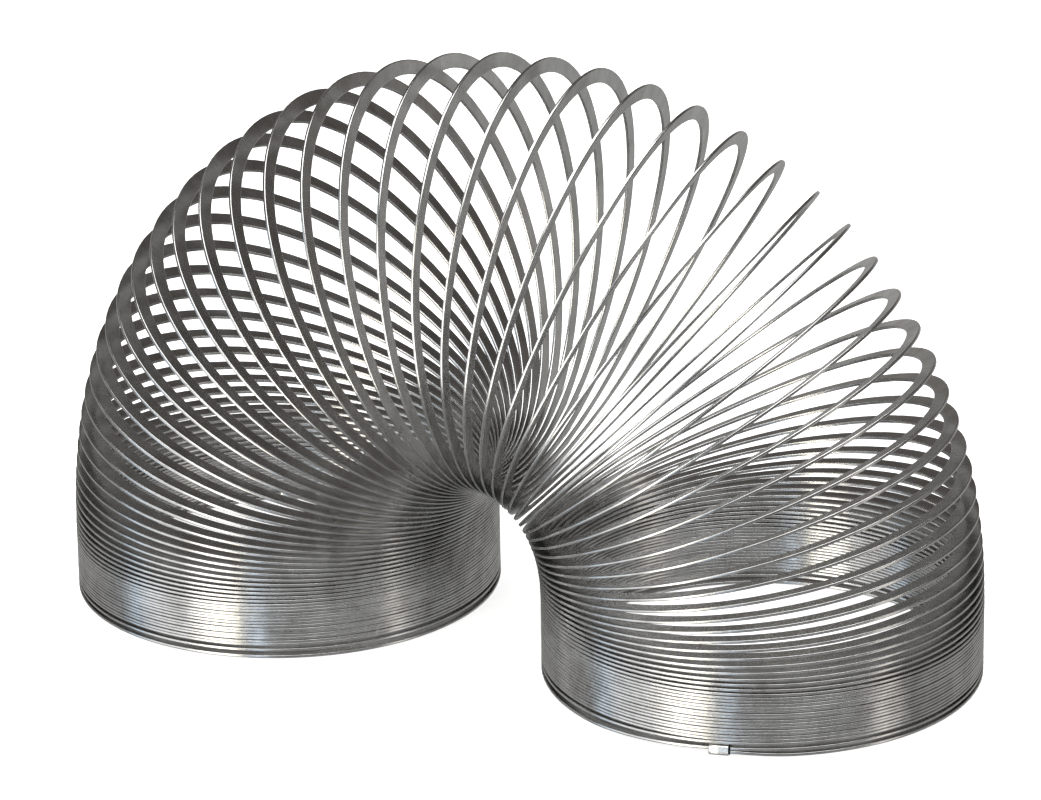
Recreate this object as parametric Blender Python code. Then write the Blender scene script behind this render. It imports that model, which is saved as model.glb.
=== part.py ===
"""A spring coil toy: one long flat steel wire wound into a close coil, standing as an arch.

Both ends of the coil stand on the ground as short straight stacks of closed turns. Between them the
turns fan open over the top of the arch, and touch only along the inside of the bend, the throat. The
wire is divided at the throat into one rigid body per turn of the fan and one per foot. A small folded
steel clip holds each end of the wire to the turn beside it.

Closing the arch swings every turn about its own fixed centre, from its place in the arch to its place
in one straight closed stack on the left foot. All axes are parallel to Y.

Frame: X runs from the left foot to the right foot, Y across the coil, Z up. The origin is on the
ground, in the middle of the bounding box. Turns are counted from the wire's end in the left foot.
"""

import math

import bpy
import numpy as np

MM = 0.001

# The wire and the coil it is wound into.
OUTER_RADIUS = 35.0 * MM
WIRE_WIDTH = 2.4 * MM
WIRE_THICKNESS = 0.42 * MM
TURNS = 88.4
START_ANGLE = math.radians(-64.0)  # of the wire's end in the left foot, from the outside of the bend

# Distance between neighbouring turns at the throat: closed, and the extra at the top of the arch.
CLOSED_PITCH = 0.534 * MM
EXTRA_PITCH = 0.224 * MM
EXTRA_SPREAD = 18.0

# The fan. Each turn leans further than the last by an angle that follows a bell over the turns.
FAN_TURNS = 56
FIRST_FAN_CUT = 15
BELL_CENTRE = 42.5
BELL_WIDTH = {"left": 14.2, "right": 17.2}
BELL_POWER = {"left": 2.03, "right": 2.33}
SIDE_STEP = 6.0 * MM  # the left foot stands this much further back than the right one

# The clips, and the room that the wire makes for them at each foot.
CLIP_LENGTH = 3.3 * MM
CLIP_WALL = 0.30 * MM
CLIP_CLEARANCE = 0.05 * MM
CLIP_SPAN = CLIP_LENGTH / 2 / (2 * math.pi * OUTER_RADIUS)  # half its length, in turns
END_LIFT = CLIP_WALL + CLIP_CLEARANCE  # of the wire's end, by the clip's lower wall
OVER_CLIP = CLIP_WALL + 2 * CLIP_CLEARANCE  # extra between the second and third turns
END_RAMP = 0.04  # turns from the wire's end to where it lies on the ground
CLIMB = 0.10  # turns over which the wire climbs to the next level

CUT_GAP = 0.3 * MM  # between the wires of two neighbouring bodies
STEPS_PER_TURN = 20
THROAT = math.pi  # wire angle of the inside of the bend
GROUND = WIRE_THICKNESS / 2  # height of the wire's middle where it lies on the ground
STEEL = (0.62, 0.62, 0.60, 1.0)


def cut(index):
    """The turn count at which the wire passes the throat for the given time."""
    return (THROAT - START_ANGLE) / (2 * math.pi) + index


FAN_START = cut(FIRST_FAN_CUT)
FAN_END = cut(FIRST_FAN_CUT + FAN_TURNS)


def opening(turn):
    """How far a turn opens, relative to the widest one: a bell with its own shape on each side."""
    offset = turn - BELL_CENTRE
    left = np.exp(-(np.abs(offset / BELL_WIDTH["left"]) ** BELL_POWER["left"]))
    right = np.exp(-(np.abs(offset / BELL_WIDTH["right"]) ** BELL_POWER["right"]))
    return np.where(offset < 0, left, right)


def throat_curve():
    """Turn count, lean, and the throat's place along the fan, at evenly spaced steps."""
    turns = np.linspace(FAN_START, FAN_END, FAN_TURNS * STEPS_PER_TURN + 1)
    middle = (turns[1:] + turns[:-1]) / 2
    lean = np.concatenate([[0.0], np.cumsum(opening(middle))])
    lean *= math.pi / lean[-1]
    middle_lean = (lean[1:] + lean[:-1]) / 2
    pitch = CLOSED_PITCH + EXTRA_PITCH * np.exp(-(((middle - BELL_CENTRE) / EXTRA_SPREAD) ** 2))
    advance = pitch / STEPS_PER_TURN
    x = np.concatenate([[0.0], np.cumsum(advance * np.sin(middle_lean))])
    z = np.concatenate([[0.0], np.cumsum(advance * np.cos(middle_lean))])
    return turns, lean, x, z


def stack_height(turns, pitch):
    """Height of the wire's middle in a foot, a number of turns from the wire's end.

    The first turn lies on the ground, apart from its end, which the clip lifts. The wire then climbs
    past the clip's lower wall, and one turn later over its upper wall.
    """
    if turns < 1 - CLIMB:
        return GROUND + END_LIFT * min(max(1 - (turns - CLIP_SPAN) / END_RAMP, 0.0), 1.0)
    if turns < 1:
        return GROUND + (pitch + END_LIFT) * (turns - 1 + CLIMB) / CLIMB
    over = min(max((turns - 2 + CLIMB) / CLIMB, 0.0), 1.0)
    return GROUND + END_LIFT + pitch * turns + OVER_CLIP * over


FAN_TURN_COUNT, FAN_LEAN, FAN_X, FAN_Z = throat_curve()
FOOT_GAP = FAN_X[-1]
RIGHT_HEIGHT = stack_height(TURNS - FAN_END, CLOSED_PITCH)
LEFT_HEIGHT = RIGHT_HEIGHT - FAN_Z[-1]
LEFT_PITCH = (LEFT_HEIGHT - GROUND - END_LIFT - OVER_CLIP) / FAN_START


def throat(turn):
    """(lean, x, z) of the throat for a turn count. Lean is 0 in the left foot and pi in the right."""
    if turn <= FAN_START:
        return 0.0, -FOOT_GAP / 2, stack_height(turn, LEFT_PITCH)
    if turn >= FAN_END:
        return math.pi, FOOT_GAP / 2, stack_height(TURNS - turn, CLOSED_PITCH)
    lean = np.interp(turn, FAN_TURN_COUNT, FAN_LEAN)
    x = np.interp(turn, FAN_TURN_COUNT, FAN_X) - FOOT_GAP / 2
    z = np.interp(turn, FAN_TURN_COUNT, FAN_Z) + LEFT_HEIGHT
    return float(lean), float(x), float(z)


def directions(turn):
    """Where a turn count's wire lies: (throat point, outward of the bend, spoke, normal of the turn)."""
    lean, x, z = throat(turn)
    outward = np.array([-math.cos(lean), 0.0, math.sin(lean)])
    normal = np.array([math.sin(lean), 0.0, math.cos(lean)])
    point = np.array([x, SIDE_STEP / 2 * math.cos(lean), z])
    angle = START_ANGLE + 2 * math.pi * turn
    spoke = math.cos(angle) * outward - math.sin(angle) * np.array([0.0, 1.0, 0.0])
    return point, outward, spoke, normal


def section(turn):
    """The four corners of the wire's cross-section, outer face first, at a turn count."""
    point, outward, spoke, normal = directions(turn)
    centre = point + OUTER_RADIUS * outward
    half = normal * WIRE_THICKNESS / 2
    outer = centre + OUTER_RADIUS * spoke
    inner = centre + (OUTER_RADIUS - WIRE_WIDTH) * spoke
    return [outer - half, outer + half, inner + half, inner - half]


def stations(first, last):
    """Turn counts from first to last, on steps shared by every turn so that closed turns nest.

    The turns in and over a clip have more of them there, to follow the clip's curve.
    """
    origin = cut(0)
    low = math.floor((first - origin) * STEPS_PER_TURN) + 1
    high = math.ceil((last - origin) * STEPS_PER_TURN) - 1
    inside = [origin + step / STEPS_PER_TURN for step in range(low, high + 1)]
    for turns in range(3):
        for offset in (-1.3 * CLIP_SPAN, 0.0, 1.3 * CLIP_SPAN):
            inside += [turns + offset, TURNS - turns + offset]
    margin = CLIP_SPAN / 4
    return [first] + sorted(turn for turn in inside if first + margin < turn < last - margin) + [last]


def pivot(index):
    """The throat point between the fan's body with this index and the one before it."""
    return directions(cut(FIRST_FAN_CUT + index))[0]


def fold_angle(index):
    """How far a body of the fan turns as the arch closes. The index after the last is the right foot."""
    if index == FAN_TURNS:
        return math.pi
    return throat(cut(FIRST_FAN_CUT + index) + 0.5)[0]


def folded(vector, angle):
    """A vector turned by an angle in the closing direction, which is negative about +Y."""
    x, y, z = vector
    return np.array([
        x * math.cos(angle) - z * math.sin(angle), y, x * math.sin(angle) + z * math.cos(angle)
    ])


def fold_centres():
    """The fixed centre that each body swings about, from its place in the arch to the closed stack."""
    centres = []
    closed = pivot(0)
    for index in range(FAN_TURNS + 1):
        start = pivot(index)
        angle = fold_angle(index)
        step = closed - start
        across = np.array([-step[2], 0.0, step[0]])
        centres.append((start + closed) / 2 + across / (2 * math.tan(angle / 2)))
        centres[-1][1] = start[1]
        if index < FAN_TURNS:
            closed = closed + folded(pivot(index + 1) - start, angle)
            closed[1] = start[1]
    return centres


def steel(name):
    material = bpy.data.materials.new(name)
    material.use_nodes = True
    shader = material.node_tree.nodes["Principled BSDF"]
    shader.inputs["Base Color"].default_value = STEEL
    shader.inputs["Metallic"].default_value = 1.0
    shader.inputs["Roughness"].default_value = 0.3
    return material


def add_object(name, points, faces, origin):
    mesh = bpy.data.meshes.new(name)
    mesh.from_pydata([point - origin for point in points], [], faces)
    mesh.update()
    mesh.shade_smooth()
    mesh.set_sharp_from_angle(angle=math.radians(40))
    mesh.materials.append(steel(name))
    body = bpy.data.objects.new(name, mesh)
    body.location = origin
    bpy.context.collection.objects.link(body)


def tube_faces(rings, flip=False):
    """The side faces between rings of four points each."""
    faces = []
    for start in range(0, 4 * (rings - 1), 4):
        for side in range(4):
            following = (side + 1) % 4
            face = (start + side, start + 4 + side, start + 4 + following, start + following)
            faces.append(face[::-1] if flip else face)
    return faces


def add_wire(name, first, last, origin):
    """One body of the coil: the wire from one turn count to another, as a closed strip."""
    rings = [section(turn) for turn in stations(first, last)]
    points = [corner for ring in rings for corner in ring]
    end = len(points) - 4
    caps = [(0, 1, 2, 3), (end + 3, end + 2, end + 1, end)]
    add_object(name, points, tube_faces(len(rings)) + caps, origin)


def add_clip(name, end_turn, origin):
    """A short sleeve round the wire's end and the turn above it, open at both ends."""
    level = 2 * END_LIFT + WIRE_THICKNESS + (LEFT_PITCH if end_turn == 0 else CLOSED_PITCH)
    outer = []
    inner = []
    for turn in (end_turn - CLIP_SPAN, end_turn, end_turn + CLIP_SPAN):
        angle = START_ANGLE + 2 * math.pi * turn
        point, outward, _, normal = directions(end_turn)
        spoke = math.cos(angle) * outward - math.sin(angle) * np.array([0.0, 1.0, 0.0])
        centre = point + OUTER_RADIUS * outward
        centre[2] = 0.0
        up = np.array([0.0, 0.0, 1.0])
        turned = -1 if normal[2] < 0 else 1
        for ring, inset in ((outer, 0.0), (inner, CLIP_WALL)):
            far = OUTER_RADIUS + END_LIFT - inset
            near = OUTER_RADIUS - WIRE_WIDTH - END_LIFT + inset
            low, high = [inset, level - inset][::turned]
            ring += [centre + far * spoke + low * up, centre + far * spoke + high * up]
            ring += [centre + near * spoke + high * up, centre + near * spoke + low * up]
    inside = [tuple(12 + corner for corner in face) for face in tube_faces(3, flip=True)]
    rims = []
    for side in range(4):
        following = (side + 1) % 4
        rims.append((side, following, 12 + following, 12 + side))
        rims.append((8 + following, 8 + side, 20 + side, 20 + following))
    add_object(name, outer + inner, tube_faces(3) + inside + rims, origin)


def main():
    for old in list(bpy.data.objects):
        bpy.data.objects.remove(old)
    half_gap = CUT_GAP / 2 / (2 * math.pi * OUTER_RADIUS)
    centres = fold_centres()
    left_origin = pivot(0) * np.array([1.0, 1.0, 0.0])
    add_wire("left_foot_stack", 0.0, FAN_START - half_gap, left_origin)
    add_clip("left_end_clip", 0.0, left_origin)
    for index in range(FAN_TURNS):
        first = cut(FIRST_FAN_CUT + index) + half_gap
        last = cut(FIRST_FAN_CUT + index + 1) - half_gap
        add_wire(f"turn_{index + 1:02d}", first, last, centres[index])
    add_wire("right_foot_stack", FAN_END + half_gap, TURNS, centres[FAN_TURNS])
    add_clip("right_end_clip", TURNS, centres[FAN_TURNS])


main()
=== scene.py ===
import math

import bpy
import numpy as np
from mathutils import Matrix, Vector


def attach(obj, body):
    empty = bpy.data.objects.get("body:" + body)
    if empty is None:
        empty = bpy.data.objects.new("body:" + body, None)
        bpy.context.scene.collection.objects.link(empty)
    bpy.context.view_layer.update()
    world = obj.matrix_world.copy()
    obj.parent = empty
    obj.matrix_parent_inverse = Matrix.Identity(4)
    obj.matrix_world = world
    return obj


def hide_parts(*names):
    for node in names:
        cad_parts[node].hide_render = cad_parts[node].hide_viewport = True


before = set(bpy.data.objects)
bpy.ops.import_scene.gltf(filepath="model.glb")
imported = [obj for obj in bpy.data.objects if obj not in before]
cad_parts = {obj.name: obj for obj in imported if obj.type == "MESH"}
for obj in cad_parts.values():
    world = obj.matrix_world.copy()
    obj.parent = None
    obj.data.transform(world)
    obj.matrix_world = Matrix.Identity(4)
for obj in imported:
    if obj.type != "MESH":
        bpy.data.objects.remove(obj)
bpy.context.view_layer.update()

MM = 0.001

# The coil's design, as in the CAD model: everything is worked out from these values.
OUTER_RADIUS = 35.0 * MM
WIRE_WIDTH = 2.4 * MM
CAD_THICKNESS = 0.42 * MM
TURNS = 88.4
START_ANGLE = math.radians(-64.0)
CLOSED_PITCH = 0.534 * MM
EXTRA_PITCH = 0.224 * MM
EXTRA_SPREAD = 18.0
FAN_TURNS = 56
FIRST_FAN_CUT = 15
BELL_CENTRE = 42.5
BELL_WIDTH = {"left": 14.2, "right": 17.2}
BELL_POWER = {"left": 2.03, "right": 2.33}
SIDE_STEP = 6.0 * MM
CLIP_LENGTH = 3.3 * MM
CLIP_WALL = 0.30 * MM
CLIP_CLEARANCE = 0.05 * MM
CLIP_SPAN = CLIP_LENGTH / 2 / (2 * math.pi * OUTER_RADIUS)
END_LIFT = CLIP_WALL + CLIP_CLEARANCE
OVER_CLIP = CLIP_WALL + 2 * CLIP_CLEARANCE
END_RAMP = 0.04
CLIMB = 0.10
THROAT = math.pi
GROUND = CAD_THICKNESS / 2
INTEGRATION_STEPS = 20

# What the finished wire adds to it.
WIRE_THICKNESS = 0.50 * MM
EDGE_RADIUS = 0.12 * MM  # of the rolled wire's corners
FLAT_MARGIN = 0.10 * MM  # from a rounded corner to where the wire's face is quite flat
STATIONS_PER_TURN = 96
WIRE_JOIN = 0.00004  # gap between two neighbouring pieces of wire, in turns
UNEVEN_GAP = 0.09 * MM  # how far closed turns stray from an even pitch
UNEVEN_RADIUS = 0.05 * MM  # how far closed turns stray inward
UNEVEN_WAVES = (0.37, 0.83, 1.31, 2.17, 3.61)  # waves per turn
UNEVEN_PHASE = 3  # from each wave to the next, in radians
EVEN_TURNS = 2  # at each end of the wire, where nothing strays
EVEN_WHERE_OPEN = 0.8  # share of the stray that the open fan takes away
BUNCH_RATE = 0.28  # bunches of touching turns, with a wider gap after each, per turn
BUNCH_SWAYS = ((0.30, 0.9), (0.12, 2.3))  # size and rate of the changes in that rate
BUNCH_ORDERS = (1, 2, 3)  # of the sines that make the sawtooth
POINTS_PER_CORNER = 3

# The clip, a rounded sleeve. Its route runs along the outside and back inside its wall: each
# entry is a place along the sleeve, from -1 to 1, and a depth below its surface.
CLIP_POINTS = 28
CLIP_POWER = 7  # of the superellipse that rounds it
CLIP_GROOVE = 0.14 * MM
CLIP_ROUNDING = 0.06 * MM
CLIP_ROUTE = [
    (-1.0, CLIP_GROOVE),
    (-0.88, CLIP_GROOVE),
    (-0.84, 0.0),
    (0.0, 0.0),
    (0.94, 0.0),
    (1.0, CLIP_ROUNDING),
    (1.0, CLIP_WALL),
    (0.0, CLIP_WALL),
    (-1.0, CLIP_WALL),
]
CLIP_PAINTED_SHADE_END = 0.07  # share of the clip's length, at its grooved end, painted near black as painted shade for the shadowed gap there

# The steel. Noise scales are per metre.
WIRE_COLOUR = (0.67, 0.67, 0.665)
WIRE_ROUGHNESS = 0.20
CLIP_COLOUR = (0.86, 0.86, 0.85)
CLIP_ROUGHNESS = 0.25
CLOUD_DARKNESS = (0.68, 0.67, 0.66)  # of the dark patches, against the bright ones
CLOUD_RANGE = (0.30, 0.62)
CLOUD_SCALE = 170.0
DRAWING_LINES = (60.0, 9000.0, 1.0)  # noise scale along the wire and round it
WEAR_SCALE = 120.0
WEAR_RANGE = (0.35, 0.65)
WEAR_ROUGHNESS = (0.8, 1.4)  # least and most, against the steel's own roughness
BUMP_STRENGTH = 0.25
BUMP_DISTANCE = 0.00001
SMOOTH_ANGLE = math.radians(60)
MIX_COLOUR_SOCKETS = (0, 6, 7)  # a colour Mix node's factor and its two colours
MIX_COLOUR_OUTPUT = 2

# The studio. Colours are linear, and the lights' places and sizes are in degrees. Each band is the
# height of a direction, from -1 straight down to 1 straight up, and the colour seen there.
CAMERA_PLACE = Vector((0.294, -0.673, 0.317))
CAMERA_YAW = math.radians(-23.56)
CAMERA_PITCH = math.radians(-20.82)
CAMERA_ROLL = math.radians(-0.83)
CAMERA_LENS = 170.2
CAMERA_NEAREST = 0.01
SENSOR_WIDTH = 36.0
FLOOR_HALF_SIZE = 4.0
FLOOR_GLOW = 0.80
FLOOR_DROP = 0.2 * MM
LIGHT_DISTANCE = 1.0
AIM_HEIGHT = 0.03
FRONT_BLEND = (-0.45, 0.25)  # from the back bands to the front ones, along the view
BACK_BANDS = [
    (-1.00, (0.22, 0.22, 0.22)),
    (-0.55, (0.40, 0.40, 0.395)),
    (-0.25, (0.36, 0.36, 0.35)),
    (-0.08, (0.46, 0.45, 0.44)),
    (0.05, (0.21, 0.20, 0.185)),
    (0.18, (0.105, 0.096, 0.090)),
    (0.66, (0.080, 0.074, 0.070)),
    (0.92, (0.45, 0.45, 0.45)),
]
FRONT_BANDS = [
    (-1.00, (0.22, 0.22, 0.22)),
    (-0.45, (0.38, 0.38, 0.38)),
    (-0.10, (0.28, 0.28, 0.28)),
    (0.05, (0.17, 0.165, 0.16)),
    (0.50, (0.12, 0.115, 0.11)),
    (0.80, (0.16, 0.16, 0.16)),
    (0.95, (0.80, 0.80, 0.80)),
]
# Name, azimuth, elevation, width, height, radiance and colour of each light.
SOFTBOXES = [
    ("key", -39, 0, 20, 76, 3.9, (1.0, 0.94, 0.80)),
    ("left_wall", -60, 2, 44, 70, 0.95, (0.98, 0.99, 1.0)),
    ("cool_edge", -18, 2, 6, 72, 1.5, (0.62, 0.80, 1.0)),
    ("cool_side", -88, 2, 8, 72, 1.15, (0.60, 0.80, 1.0)),
    ("warm_side", 62, 2, 14, 72, 0.85, (1.0, 0.94, 0.86)),
    ("overhead", 0, 88, 62, 62, 2.9, (1.0, 1.0, 1.0)),
]


# --- The coil's centre line -----------------------------------------------------------------------


def cut(index):
    """The turn count at which the wire passes the throat for the index-th time."""
    return (THROAT - START_ANGLE) / (2 * math.pi) + index


FAN_START = cut(FIRST_FAN_CUT)
FAN_END = cut(FIRST_FAN_CUT + FAN_TURNS)


def opening(turn):
    """How far the coil opens at a turn, from 0 in the closed feet to 1 at the top of the arch."""
    offset = turn - BELL_CENTRE
    left = np.exp(-(np.abs(offset / BELL_WIDTH["left"]) ** BELL_POWER["left"]))
    right = np.exp(-(np.abs(offset / BELL_WIDTH["right"]) ** BELL_POWER["right"]))
    return np.where(offset < 0, left, right)


def throat_curve():
    """The inside of the bend through the fan: arrays of turn count, lean, x and z."""
    turns = np.linspace(FAN_START, FAN_END, FAN_TURNS * INTEGRATION_STEPS + 1)
    middle = (turns[1:] + turns[:-1]) / 2
    lean = np.concatenate([[0.0], np.cumsum(opening(middle))])
    lean *= math.pi / lean[-1]
    middle_lean = (lean[1:] + lean[:-1]) / 2
    pitch = CLOSED_PITCH + EXTRA_PITCH * np.exp(-(((middle - BELL_CENTRE) / EXTRA_SPREAD) ** 2))
    advance = pitch / INTEGRATION_STEPS
    x = np.concatenate([[0.0], np.cumsum(advance * np.sin(middle_lean))])
    z = np.concatenate([[0.0], np.cumsum(advance * np.cos(middle_lean))])
    return turns, lean, x, z


def stack_height(turns, pitch):
    """Height of the wire's middle in a foot, for turn counts from the wire's end."""
    end = GROUND + END_LIFT * np.clip(1 - (turns - CLIP_SPAN) / END_RAMP, 0, 1)
    climb = GROUND + (pitch + END_LIFT) * (turns - 1 + CLIMB) / CLIMB
    over = np.clip((turns - 2 + CLIMB) / CLIMB, 0, 1)
    coil = GROUND + END_LIFT + pitch * turns + OVER_CLIP * over
    return np.where(turns < 1 - CLIMB, end, np.where(turns < 1, climb, coil))


FAN_TURN_COUNT, FAN_LEAN, FAN_X, FAN_Z = throat_curve()
FOOT_GAP = FAN_X[-1]
RIGHT_HEIGHT = float(stack_height(TURNS - FAN_END, CLOSED_PITCH))
LEFT_HEIGHT = RIGHT_HEIGHT - FAN_Z[-1]
LEFT_PITCH = (LEFT_HEIGHT - GROUND - END_LIFT - OVER_CLIP) / FAN_START


def throat(turn):
    """(lean, x, z) arrays of the throat for an array of turn counts."""
    in_left = turn <= FAN_START
    in_right = turn >= FAN_END
    lean = np.interp(turn, FAN_TURN_COUNT, FAN_LEAN)
    x = np.interp(turn, FAN_TURN_COUNT, FAN_X) - FOOT_GAP / 2
    fan_z = np.interp(turn, FAN_TURN_COUNT, FAN_Z) + LEFT_HEIGHT
    left_z = stack_height(turn, LEFT_PITCH)
    right_z = stack_height(TURNS - turn, CLOSED_PITCH)
    return lean, x, np.where(in_left, left_z, np.where(in_right, right_z, fan_z))


def unevenness(turn):
    """A smooth, repeatable stray between -1 and 1 that differs from each turn to the next."""
    total = sum(
        np.sin(2 * math.pi * wave * turn + UNEVEN_PHASE * index)
        for index, wave in enumerate(UNEVEN_WAVES)
    )
    return total / len(UNEVEN_WAVES)


def bunching(turn):
    """A rounded sawtooth between -0.5 and 0.5: turns creep together, then one wider gap follows."""
    sway = sum(size * np.sin(rate * turn) for size, rate in BUNCH_SWAYS)
    phase = 2 * math.pi * (BUNCH_RATE * turn + sway)
    return -sum(np.sin(order * phase) / order for order in BUNCH_ORDERS) / math.pi


def wire_section():
    """The outline of the flat wire's section, as (across, up) from its middle."""
    half_wide = WIRE_WIDTH / 2 - EDGE_RADIUS
    half_thick = WIRE_THICKNESS / 2 - EDGE_RADIUS
    flat = half_wide - FLAT_MARGIN
    outline = []
    for corner, (side, top) in enumerate(((1, 1), (-1, 1), (-1, -1), (1, -1))):
        for step in range(POINTS_PER_CORNER):
            angle = math.pi / 2 * (corner + step / (POINTS_PER_CORNER - 1))
            across = side * half_wide + EDGE_RADIUS * math.cos(angle)
            up = top * half_thick + EDGE_RADIUS * math.sin(angle)
            outline.append((across, up))
        if corner in (0, 2):
            face = top * WIRE_THICKNESS / 2
            outline += [(side * flat, face), (-side * flat, face)]
    return np.array(outline)


def wire_points(turn):
    """Points of the wire's surface, as an array of stations by section points by 3."""
    lean, x, z = throat(turn)
    zero = np.zeros_like(lean)
    outward = np.stack([-np.cos(lean), zero, np.sin(lean)], -1)
    normal = np.stack([np.sin(lean), zero, np.cos(lean)], -1)
    centre = np.stack([x, SIDE_STEP / 2 * np.cos(lean), z], -1) + OUTER_RADIUS * outward
    angle = (START_ANGLE + 2 * math.pi * turn)[:, None]
    spoke = np.cos(angle) * outward - np.sin(angle) * np.array([0.0, 1.0, 0.0])
    from_end = np.minimum(turn, TURNS - turn)
    loose = np.clip(from_end - EVEN_TURNS, 0, 1)[:, None]
    bunched = loose * (1 - EVEN_WHERE_OPEN * opening(turn))[:, None]
    centre = centre + normal * UNEVEN_GAP * bunched * bunching(turn)[:, None]
    radius = OUTER_RADIUS - UNEVEN_RADIUS * loose * (1 + unevenness(turn)[:, None]) / 2
    across, up = wire_section().T
    out = radius - WIRE_WIDTH / 2 + across
    return centre[:, None] + out[..., None] * spoke[:, None] + up[:, None] * normal[:, None]


# --- Materials ------------------------------------------------------------------------------------


def link(material, source, output, target, socket):
    material.node_tree.links.new(source.outputs[output], target.inputs[socket])


def steel_material(name, colour, roughness, painted_shade_end=0.0):
    """Bright steel with drawing lines, cloudy patches, uneven wear and perhaps a near-black band of
    painted shade at one end.
    """
    material = bpy.data.materials.new(name)
    material.use_nodes = True
    nodes = material.node_tree.nodes
    shader = nodes["Principled BSDF"]
    shader.inputs["Metallic"].default_value = 1.0

    place = nodes.new("ShaderNodeUVMap")
    place.uv_map = "wire"
    lines_place = nodes.new("ShaderNodeMapping")
    lines_place.inputs["Scale"].default_value = DRAWING_LINES
    link(material, place, "UV", lines_place, "Vector")
    lines = nodes.new("ShaderNodeTexNoise")
    lines.inputs["Scale"].default_value = 1.0
    lines.inputs["Detail"].default_value = 3.0
    link(material, lines_place, "Vector", lines, "Vector")

    clouds_place = nodes.new("ShaderNodeTexCoord")
    clouds = nodes.new("ShaderNodeTexNoise")
    clouds.inputs["Scale"].default_value = CLOUD_SCALE
    clouds.inputs["Detail"].default_value = 6.0
    clouds.inputs["Roughness"].default_value = 0.65
    link(material, clouds_place, "Object", clouds, "Vector")

    tint = nodes.new("ShaderNodeValToRGB")
    dark, bright = tint.color_ramp.elements
    dark.position, bright.position = CLOUD_RANGE
    dark.color = tuple(share * part for share, part in zip(CLOUD_DARKNESS, colour)) + (1.0,)
    bright.color = colour + (1.0,)
    link(material, clouds, "Fac", tint, "Fac")
    # Painted shade: the first stretch along the piece is made near black, standing in for the
    # shadowed gap at the clip's end.
    if painted_shade_end:
        end_shade_ramp = nodes.new("ShaderNodeValToRGB")
        end_shade_ramp.color_ramp.interpolation = "CONSTANT"
        end_shade_ramp.color_ramp.elements[0].color = (0.01, 0.01, 0.01, 1.0)
        end_shade_ramp.color_ramp.elements[1].position = painted_shade_end
        along = nodes.new("ShaderNodeSeparateXYZ")
        link(material, place, "UV", along, "Vector")
        link(material, along, "X", end_shade_ramp, "Fac")
        shade = nodes.new("ShaderNodeMix")
        shade.data_type = "RGBA"
        shade.blend_type = "MULTIPLY"
        factor, first, second = MIX_COLOUR_SOCKETS
        shade.inputs[factor].default_value = 1.0
        link(material, tint, "Color", shade, first)
        link(material, end_shade_ramp, "Color", shade, second)
        link(material, shade, MIX_COLOUR_OUTPUT, shader, "Base Color")
    else:
        link(material, tint, "Color", shader, "Base Color")

    wear = nodes.new("ShaderNodeTexNoise")
    wear.inputs["Scale"].default_value = WEAR_SCALE
    wear.inputs["Detail"].default_value = 5.0
    link(material, clouds_place, "Object", wear, "Vector")
    rough = nodes.new("ShaderNodeMapRange")
    rough.inputs["From Min"].default_value, rough.inputs["From Max"].default_value = WEAR_RANGE
    rough.inputs["To Min"].default_value = roughness * WEAR_ROUGHNESS[0]
    rough.inputs["To Max"].default_value = roughness * WEAR_ROUGHNESS[1]
    link(material, wear, "Fac", rough, "Value")
    link(material, rough, "Result", shader, "Roughness")

    bump = nodes.new("ShaderNodeBump")
    bump.inputs["Strength"].default_value = BUMP_STRENGTH
    bump.inputs["Distance"].default_value = BUMP_DISTANCE
    link(material, lines, "Fac", bump, "Height")
    link(material, bump, "Normal", shader, "Normal")
    return material


WIRE_STEEL = steel_material("spring_steel", WIRE_COLOUR, WIRE_ROUGHNESS)
# The clip's steel carries a band of painted shade at its grooved end.
CLIP_STEEL = steel_material("clip_steel", CLIP_COLOUR, CLIP_ROUGHNESS, CLIP_PAINTED_SHADE_END)


# --- Pieces ---------------------------------------------------------------------------------------


def add_mesh(name, grid, faces, uv, material, body, node):
    """A piece that rides on a body and replaces a node; uv holds one u and one v per vertex."""
    mesh = bpy.data.meshes.new(name)
    mesh.from_pydata(grid.reshape(-1, 3).tolist(), [], faces)
    mesh.shade_smooth()
    mesh.set_sharp_from_angle(angle=SMOOTH_ANGLE)
    corners = np.empty(len(mesh.loops), np.int32)
    mesh.loops.foreach_get("vertex_index", corners)
    layer = mesh.uv_layers.new(name="wire")
    layer.data.foreach_set("uv", np.stack([axis[corners] for axis in uv], -1).ravel())
    mesh.materials.append(material)
    piece = bpy.data.objects.new(name, mesh)
    bpy.context.collection.objects.link(piece)
    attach(piece, body)
    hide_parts(node)


def add_wire(name, first, last, body, node):
    """The wire from one turn count to another, as a closed tube of flat section."""
    count = max(2, round((last - first) * STATIONS_PER_TURN)) + 1
    turn = np.linspace(first, last, count)
    grid = wire_points(turn)
    around = grid.shape[1]
    side = np.arange(around)
    following = (side + 1) % around
    base = np.arange(count - 1)[:, None] * around
    after = base + around
    quads = np.stack([base + side, after + side, after + following, base + following], -1)
    faces = [tuple(face) for face in quads.reshape(-1, 4).tolist()]
    faces.append(tuple(range(around)))
    faces.append(tuple(reversed(range((count - 1) * around, count * around))))
    lengthwise = np.repeat(turn * 2 * math.pi * OUTER_RADIUS, around)
    steps = np.linalg.norm(np.diff(wire_section(), axis=0), axis=1)
    girth = np.tile(np.concatenate([[0.0], np.cumsum(steps)]), count)
    add_mesh(name, grid, faces, (lengthwise, girth), WIRE_STEEL, body, node)


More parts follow.
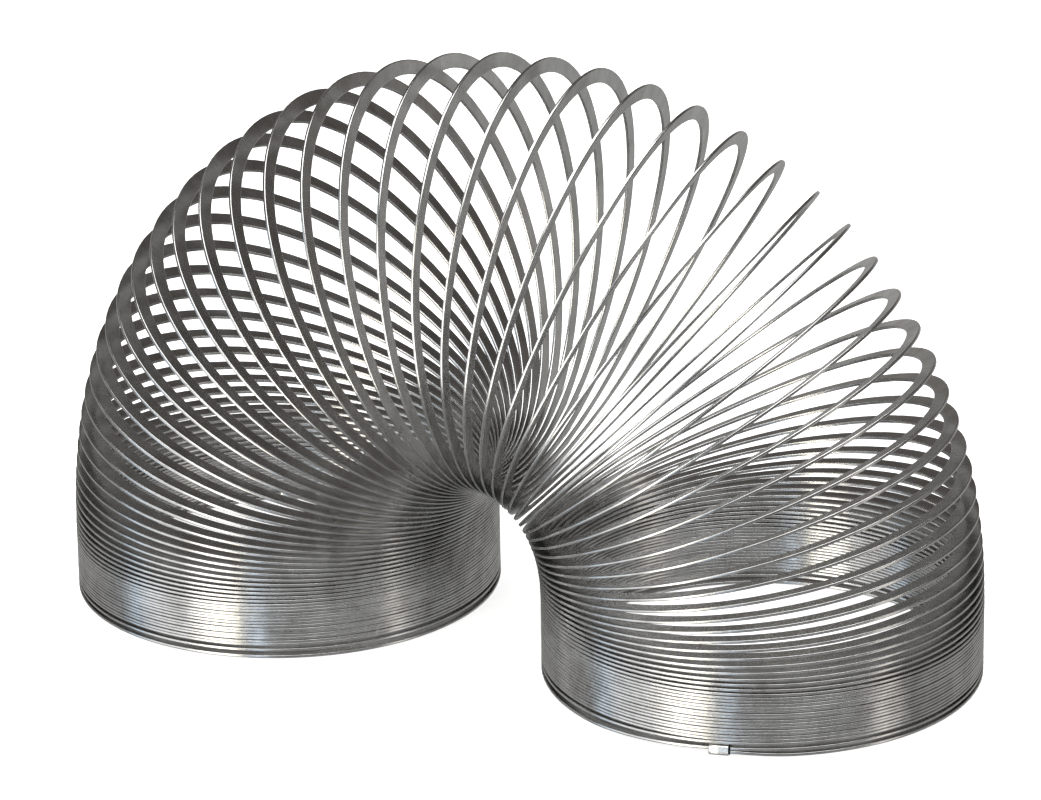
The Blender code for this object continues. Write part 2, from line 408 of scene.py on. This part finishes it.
def add_clip(name, end_turn, body, node):
    """A short strip folded round the wire's end and the turn above it, as a rounded sleeve."""
    pitch = LEFT_PITCH if end_turn == 0 else CLOSED_PITCH
    level = 2 * END_LIFT + CAD_THICKNESS + pitch
    lean, x, _ = (float(value[0]) for value in throat(np.array([end_turn])))
    outward = np.array([-math.cos(lean), 0.0, 0.0])
    centre = np.array([x, SIDE_STEP / 2 * math.cos(lean), 0.0]) + OUTER_RADIUS * outward
    middle = OUTER_RADIUS - WIRE_WIDTH / 2
    half_wide = WIRE_WIDTH / 2 + END_LIFT
    around = np.arange(CLIP_POINTS) * 2 * math.pi / CLIP_POINTS
    across = np.sign(np.cos(around)) * np.abs(np.cos(around)) ** (2 / CLIP_POWER)
    upward = np.sign(np.sin(around)) * np.abs(np.sin(around)) ** (2 / CLIP_POWER)
    rings = []
    for place, inset in CLIP_ROUTE:
        angle = START_ANGLE + 2 * math.pi * (end_turn + place * CLIP_SPAN)
        spoke = math.cos(angle) * outward - math.sin(angle) * np.array([0.0, 1.0, 0.0])
        out = middle + (half_wide - inset) * across
        up = level / 2 + (level / 2 - inset) * upward
        rings.append(centre + out[:, None] * spoke + up[:, None] * np.array([0.0, 0.0, 1.0]))
    rings = np.array(rings)
    side = np.arange(CLIP_POINTS)
    following = (side + 1) % CLIP_POINTS
    base = np.arange(len(rings))[:, None] * CLIP_POINTS
    after = np.roll(base, -1, 0)
    quads = np.stack([base + side, after + side, after + following, base + following], -1)
    faces = [tuple(face) for face in quads.reshape(-1, 4).tolist()]
    places = np.repeat([(place + 1) / 2 for place, _ in CLIP_ROUTE], CLIP_POINTS)
    heights = rings[..., 2].ravel()
    add_mesh(name, rings, faces, (places, heights), CLIP_STEEL, body, node)


add_wire("coil_left_foot", 0.0, FAN_START - WIRE_JOIN, "left_foot", "left_foot_stack")
for index in range(FAN_TURNS):
    number = f"{index + 1:02d}"
    first = cut(FIRST_FAN_CUT + index) + WIRE_JOIN
    last = cut(FIRST_FAN_CUT + index + 1) - WIRE_JOIN
    add_wire(f"coil_turn_{number}", first, last, f"turn_{number}", f"turn_{number}")
add_wire("coil_right_foot", FAN_END + WIRE_JOIN, TURNS, "right_foot", "right_foot_stack")
add_clip("end_clip_left", 0.0, "left_foot", "left_end_clip")
add_clip("end_clip_right", TURNS, "right_foot", "right_end_clip")


# --- Camera, floor and light ----------------------------------------------------------------------

camera = bpy.data.objects.new("camera", bpy.data.cameras.new("camera"))
camera.data.lens = CAMERA_LENS
camera.data.sensor_width = SENSOR_WIDTH
camera.data.clip_start = CAMERA_NEAREST
turning = (
    Matrix.Rotation(-CAMERA_YAW, 4, "Z")
    @ Matrix.Rotation(math.pi / 2 + CAMERA_PITCH, 4, "X")
    @ Matrix.Rotation(CAMERA_ROLL, 4, "Z")
)
camera.matrix_world = Matrix.Translation(CAMERA_PLACE) @ turning
bpy.context.collection.objects.link(camera)
bpy.context.scene.camera = camera


def add_floor():
    """A plain white floor that the steel doesn't reflect."""
    mesh = bpy.data.meshes.new("floor")
    size = FLOOR_HALF_SIZE
    corners = [(-size, -size, 0), (size, -size, 0), (size, size, 0), (-size, size, 0)]
    mesh.from_pydata(corners, [], [(0, 1, 2, 3)])
    material = bpy.data.materials.new("floor_white")
    material.use_nodes = True
    shader = material.node_tree.nodes["Principled BSDF"]
    shader.inputs["Base Color"].default_value = (0.80, 0.80, 0.80, 1.0)
    shader.inputs["Roughness"].default_value = 0.6
    shader.inputs["Specular IOR Level"].default_value = 0.0
    shader.inputs["Emission Color"].default_value = (1.0, 1.0, 1.0, 1.0)
    shader.inputs["Emission Strength"].default_value = FLOOR_GLOW
    mesh.materials.append(material)
    floor = bpy.data.objects.new("floor", mesh)
    floor.location.z = -FLOOR_DROP
    floor.visible_glossy = False  # the steel reflects the studio's darker lower half instead
    bpy.context.collection.objects.link(floor)


def add_softbox(name, azimuth, elevation, wide, tall, radiance, colour):
    """An area light on a circle round the object. Azimuth is from the camera, to its right."""
    angle = math.atan2(CAMERA_PLACE.y, CAMERA_PLACE.x) + math.radians(azimuth)
    level = math.radians(elevation)
    direction = Vector((
        math.cos(angle) * math.cos(level), math.sin(angle) * math.cos(level), math.sin(level)
    ))
    light = bpy.data.lights.new(name, "AREA")
    light.shape = "RECTANGLE"
    light.size = 2 * LIGHT_DISTANCE * math.tan(math.radians(wide) / 2)
    light.size_y = 2 * LIGHT_DISTANCE * math.tan(math.radians(tall) / 2)
    light.energy = radiance * math.pi * light.size * light.size_y
    light.color = colour
    lamp = bpy.data.objects.new(name, light)
    lamp.location = Vector((0, 0, AIM_HEIGHT)) + direction * LIGHT_DISTANCE
    lamp.rotation_euler = direction.to_track_quat("Z", "Y").to_euler()
    bpy.context.collection.objects.link(lamp)


def sky_ramp(nodes, bands):
    """Colour by height, from bands of (z of the direction, colour), from below to above."""
    ramp = nodes.new("ShaderNodeValToRGB")
    elements = ramp.color_ramp.elements
    elements.remove(elements[1])
    for index, (height, colour) in enumerate(bands):
        position = (height + 1) / 2
        element = elements.new(position) if index else elements[0]
        element.position = position
        element.color = colour + (1.0,)
    return ramp


def set_world():
    """The studio round the object: a grey table below, a dark room behind, paler walls in front."""
    world = bpy.data.worlds.new("studio")
    bpy.context.scene.world = world
    world.use_nodes = True
    nodes = world.node_tree.nodes
    links = world.node_tree.links
    place = nodes.new("ShaderNodeTexCoord")
    split = nodes.new("ShaderNodeSeparateXYZ")
    links.new(place.outputs["Generated"], split.inputs["Vector"])
    height = nodes.new("ShaderNodeMapRange")
    height.inputs["From Min"].default_value = -1.0
    links.new(split.outputs["Z"], height.inputs["Value"])
    ramps = [sky_ramp(nodes, BACK_BANDS), sky_ramp(nodes, FRONT_BANDS)]
    for ramp in ramps:
        links.new(height.outputs["Result"], ramp.inputs["Fac"])
    toward = nodes.new("ShaderNodeVectorMath")
    toward.operation = "DOT_PRODUCT"
    toward.inputs[1].default_value = Vector((CAMERA_PLACE.x, CAMERA_PLACE.y, 0)).normalized()
    links.new(place.outputs["Generated"], toward.inputs[0])
    front = nodes.new("ShaderNodeMapRange")
    front.interpolation_type = "SMOOTHSTEP"
    front.inputs["From Min"].default_value, front.inputs["From Max"].default_value = FRONT_BLEND
    links.new(toward.outputs["Value"], front.inputs["Value"])
    mix = nodes.new("ShaderNodeMix")
    mix.data_type = "RGBA"
    factor, first, second = (mix.inputs[index] for index in MIX_COLOUR_SOCKETS)
    links.new(front.outputs["Result"], factor)
    links.new(ramps[0].outputs["Color"], first)
    links.new(ramps[1].outputs["Color"], second)
    links.new(mix.outputs[MIX_COLOUR_OUTPUT], nodes["Background"].inputs["Color"])


add_floor()
set_world()
for softbox in SOFTBOXES:
    add_softbox(*softbox)
bpy.context.scene.view_settings.view_transform = "Standard"
